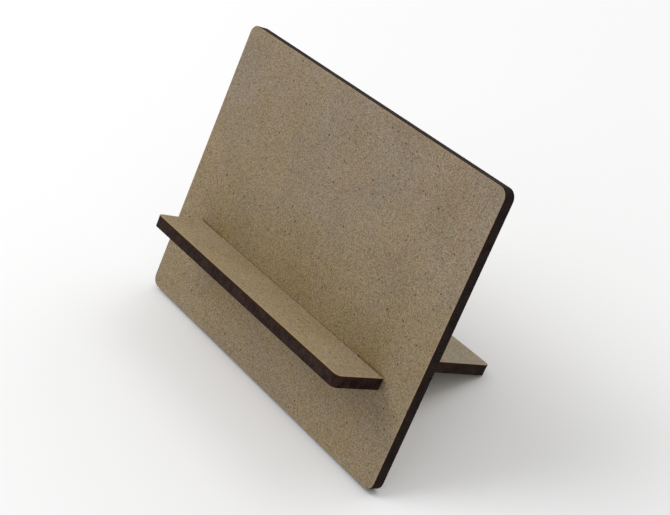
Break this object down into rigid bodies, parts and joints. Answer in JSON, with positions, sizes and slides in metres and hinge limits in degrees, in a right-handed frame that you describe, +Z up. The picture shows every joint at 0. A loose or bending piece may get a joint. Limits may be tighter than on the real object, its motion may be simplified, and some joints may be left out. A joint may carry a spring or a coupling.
{
  "type": "tilted display stand",
  "caption": "Tilted display stand: a rounded fibreboard panel leans back on a T-shaped board slotted through it, which is both front ledge and rear leg.",
  "frame": {"origin": "bottom centre of the whole stand's bounding box, on the surface it stands on", "axes": "+X along the panel's width, -Y towards the viewer of the display face, +Z up; the panel leans back towards +Y by 25.9 degrees"},
  "size_m": [0.1, 0.0552, 0.069],
  "materials": {
    "panel_fibreboard": "raw fibreboard, matt, laser-charred edges",
    "ledge_fibreboard": "raw fibreboard, matt, laser-charred edges"
  },
  "bodies": {
    "panel": {"back_panel": "panel_fibreboard"},
    "board": {"ledge_board": "ledge_fibreboard"}
  },
  "joints": [
    {"name": "board_slide", "type": "slide", "parent": "panel", "child": "board", "axis": [0, -0.8994, 0.4371], "range_m": [0, 0.042]}
  ]
}
